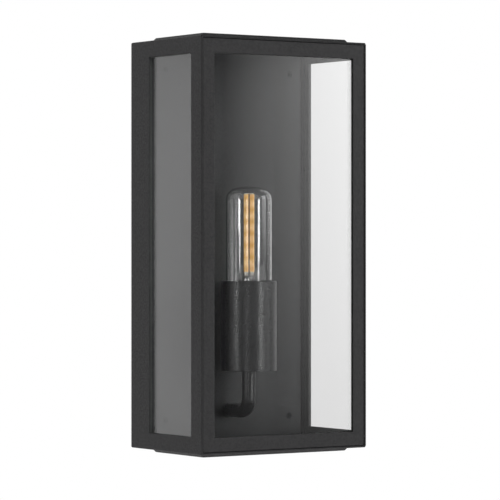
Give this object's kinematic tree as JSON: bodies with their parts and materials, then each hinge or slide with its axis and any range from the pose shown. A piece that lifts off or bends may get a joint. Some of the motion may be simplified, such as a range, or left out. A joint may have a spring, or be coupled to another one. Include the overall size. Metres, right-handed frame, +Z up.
{
  "type": "outdoor wall lantern",
  "caption": "Rectangular black outdoor wall lantern: glazed sheet-metal cage that slides off a wall unit with an upright tubular filament lamp.",
  "frame": {"origin": "on the wall, at the middle of the lantern's width and height: the centre of the foam gasket's rear face", "axes": "+Z up, +Y into the wall, +X to the right seen from the front"},
  "size_m": [0.136, 0.09, 0.285],
  "materials": {
    "powder_coat": "fine textured black powder coat",
    "clear_glass": "clear float glass, 2 mm",
    "silicone": "black silicone",
    "foam_rubber": "closed-cell black foam",
    "spring_steel": "spring steel",
    "zinc_steel": "bright zinc plated",
    "black_steel": "black coated steel",
    "nylon": "black nylon",
    "porcelain": "glazed white porcelain",
    "brass": "bright brass",
    "polyamide": "natural white polyamide",
    "live_insulation": "brown silicone-glass sleeve",
    "neutral_insulation": "blue silicone-glass sleeve",
    "earth_insulation": "green and yellow sleeve",
    "lamp_glass": "clear drawn glass",
    "filament": "yellow phosphor rods, unlit",
    "nickel_wire": "nickel plated wire",
    "nickel_cap": "nickel plated brass, satin",
    "black_glass": "black vitrite",
    "solder": "tin solder on brass",
    "circuit_board": "green board with a capacitor"
  },
  "bodies": {
    "wall_unit": {"arm_lock_washer": "zinc_steel", "arm_rear_nut": "zinc_steel", "back_plate": "powder_coat", "cable_grommet": "silicone", "cage_screw_nuts": "zinc_steel", "cage_screw_spacers": "nylon", "cage_screws": "black_steel", "cup_nut": "zinc_steel", "earth_lead": "earth_insulation", "earth_nut": "zinc_steel", "earth_stud": "zinc_steel", "foam_wall_gasket": "foam_rubber", "gear_tray": "powder_coat", "holder_bracket": "zinc_steel", "holder_centre_contact": "brass", "holder_screw_shell": "brass", "holder_screws": "zinc_steel", "lamp_arm": "powder_coat", "lampholder_body": "porcelain", "lampholder_cup": "powder_coat", "live_lead": "live_insulation", "neutral_lead": "neutral_insulation", "plate_edge_strips": "powder_coat", "terminal_barrels": "brass", "terminal_block": "polyamide", "terminal_block_screws": "zinc_steel", "terminal_screws": "zinc_steel", "tray_pillars": "zinc_steel", "tray_screws": "black_steel"},
    "cage": {"left_side_panel": "powder_coat", "right_side_panel": "powder_coat", "top_cap": "powder_coat", "bottom_cap": "powder_coat", "front_frame": "powder_coat", "front_glass": "clear_glass", "left_glass": "clear_glass", "right_glass": "clear_glass", "front_glass_gasket": "silicone", "left_glass_gasket": "silicone", "right_glass_gasket": "silicone", "front_glass_clips": "spring_steel", "left_glass_clips": "spring_steel", "right_glass_clips": "spring_steel"},
    "lamp_lift": {"lamp_contact": "solder"},
    "lamp": {"lamp_glass": "lamp_glass", "lamp_stem": "lamp_glass", "lamp_filaments": "filament", "lamp_wires": "nickel_wire", "lamp_cap": "nickel_cap", "lamp_insulator": "black_glass", "lamp_driver": "circuit_board"}
  },
  "joints": [
    {"name": "cage_slide", "type": "slide", "parent": "wall_unit", "child": "cage", "axis": [0, -1, 0], "range_m": [0, 0.1]},
    {"name": "lamp_rise", "type": "slide", "parent": "wall_unit", "child": "lamp_lift", "axis": [0, 0, 1], "range_m": [0, 0.01824]},
    {"name": "lamp_turn", "type": "hinge", "parent": "lamp_lift", "child": "lamp", "pos_m": [0, -0.045, -0.0618], "axis": [0, 0, 1], "range_deg": [0, 1800]}
  ],
  "couplings": [
    {"joint": "lamp_rise", "follows": "lamp_turn", "m_per_rad": 0.00057757}
  ]
}
